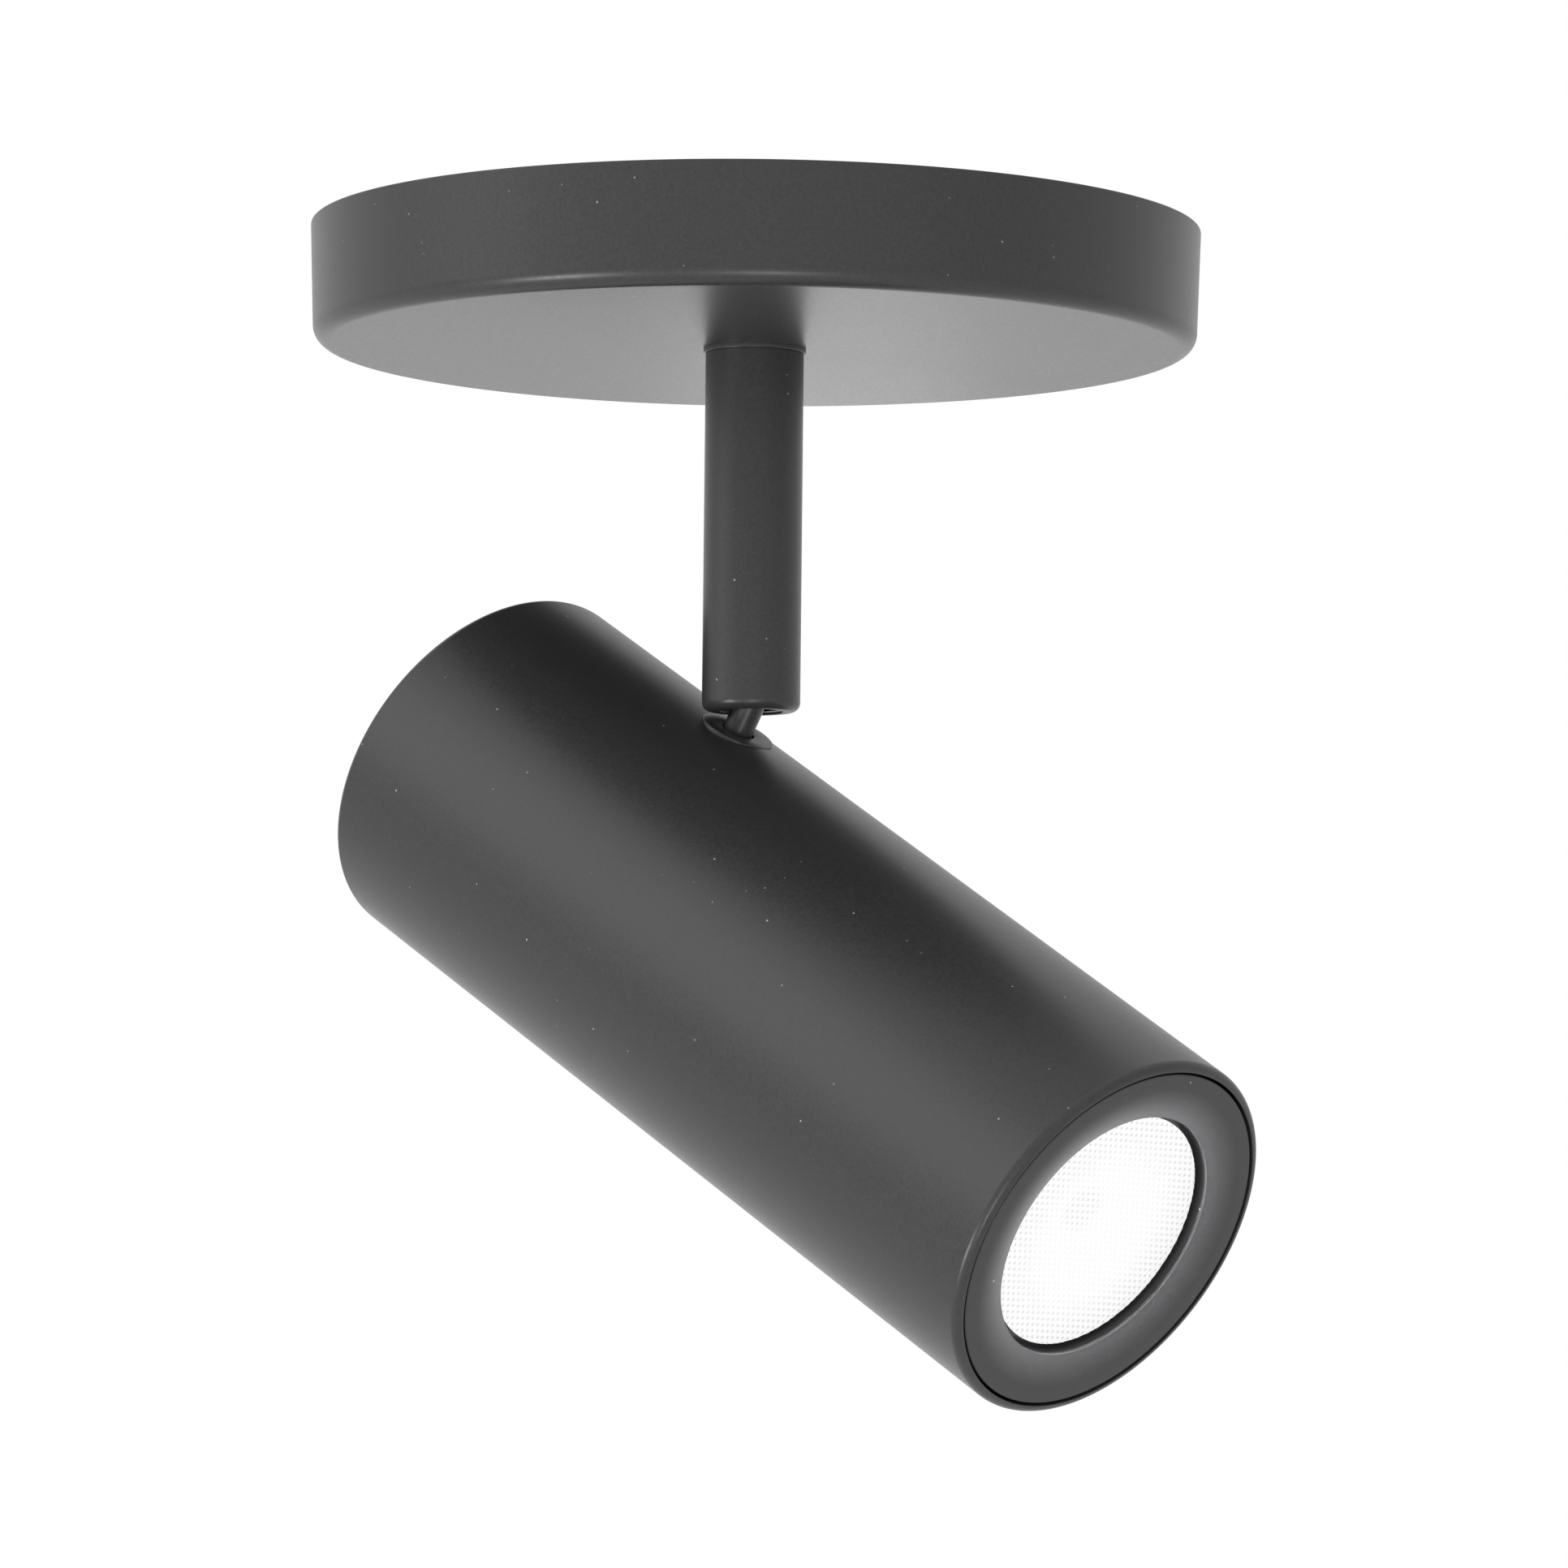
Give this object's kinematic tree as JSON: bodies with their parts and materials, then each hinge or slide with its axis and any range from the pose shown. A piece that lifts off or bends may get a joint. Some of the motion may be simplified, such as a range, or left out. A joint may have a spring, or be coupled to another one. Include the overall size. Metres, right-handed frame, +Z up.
{
  "type": "ceiling spotlight",
  "caption": "Surface mounted ceiling spotlight: round canopy on a slotted bar, drop stem with hidden pan and tilt swivel, and a cylindrical head with a recessed trim and lens.",
  "frame": {"origin": "centre of the ceiling plane, on the stem's axis, midway between the two junction-box slots", "axes": "+Z up into the ceiling, +X along the mounting bar"},
  "size_m": [0.1336, 0.13, 0.1682],
  "materials": {
    "black_powder_coat": "fine satin powder coat",
    "zinc_plated_steel": "bright zinc plate",
    "black_oxide_steel": "black oxide",
    "green_steel": "green finish of an earth screw",
    "brass": "turned",
    "blackened_brass": "blackened, turned",
    "white_nylon": "natural nylon",
    "white_plastic": "moulded",
    "white_ceramic": "glazed board",
    "black_plastic": "moulded",
    "orange_plastic": "moulded",
    "grey_silicone": "matt",
    "thermal_silicone": "matt",
    "polished_aluminium": "polished",
    "turned_aluminium": "turned and extruded",
    "phosphor": "phosphor in silicone",
    "lead_black": "smooth insulation",
    "lead_white": "smooth insulation",
    "lead_green": "smooth insulation",
    "lead_red": "smooth insulation",
    "clear_prismatic": "fine square prisms, lit from behind"
  },
  "bodies": {
    "canopy": {"canopy_shell": "black_powder_coat", "mounting_plate": "zinc_plated_steel", "canopy_screws": "black_oxide_steel", "ground_screw": "green_steel", "ground_terminal": "zinc_plated_steel", "stem_collar": "black_powder_coat", "stem_nipple": "brass", "nipple_bushing": "white_nylon", "nipple_washer": "zinc_plated_steel", "nipple_nut": "brass", "stem_plug": "brass", "stem_tube": "black_powder_coat", "pan_retainer": "brass", "friction_washer": "zinc_plated_steel", "stop_screw": "black_oxide_steel", "lead_live": "lead_black", "lead_neutral": "lead_white", "lead_ground": "lead_green", "lead_connectors": "orange_plastic"},
    "swivel": {"swivel_washer": "white_nylon", "swivel_barrel": "blackened_brass", "pivot_pins": "zinc_plated_steel"},
    "head": {"neck_post": "black_powder_coat", "neck_collar": "black_powder_coat", "saddle_washer": "zinc_plated_steel", "neck_nut": "brass", "housing_tube": "black_powder_coat", "rear_cap": "black_powder_coat", "trim_ring": "black_powder_coat", "lens_cover": "clear_prismatic", "lens_gasket": "grey_silicone", "reflector": "polished_aluminium", "led_emitter": "phosphor", "led_board": "white_ceramic", "led_holder": "white_plastic", "holder_screws": "zinc_plated_steel", "thermal_pad": "thermal_silicone", "heat_sink": "turned_aluminium", "chassis": "zinc_plated_steel", "chassis_screws": "zinc_plated_steel", "driver_case": "black_plastic", "driver_lid": "black_plastic", "driver_standoffs": "brass", "driver_screws": "zinc_plated_steel", "terminal_block": "white_nylon", "head_leads": "lead_white", "led_leads": "lead_red"}
  },
  "joints": [
    {"name": "pan", "type": "hinge", "parent": "canopy", "child": "swivel", "pos_m": [0, 0, -0.0675], "axis": [0, 0, 1], "range_deg": [-160, 160]},
    {"name": "tilt", "type": "hinge", "parent": "swivel", "child": "head", "pos_m": [0, 0, -0.0675], "axis": [0.6691, 0.7431, 0], "range_deg": [-64, 2]}
  ]
}
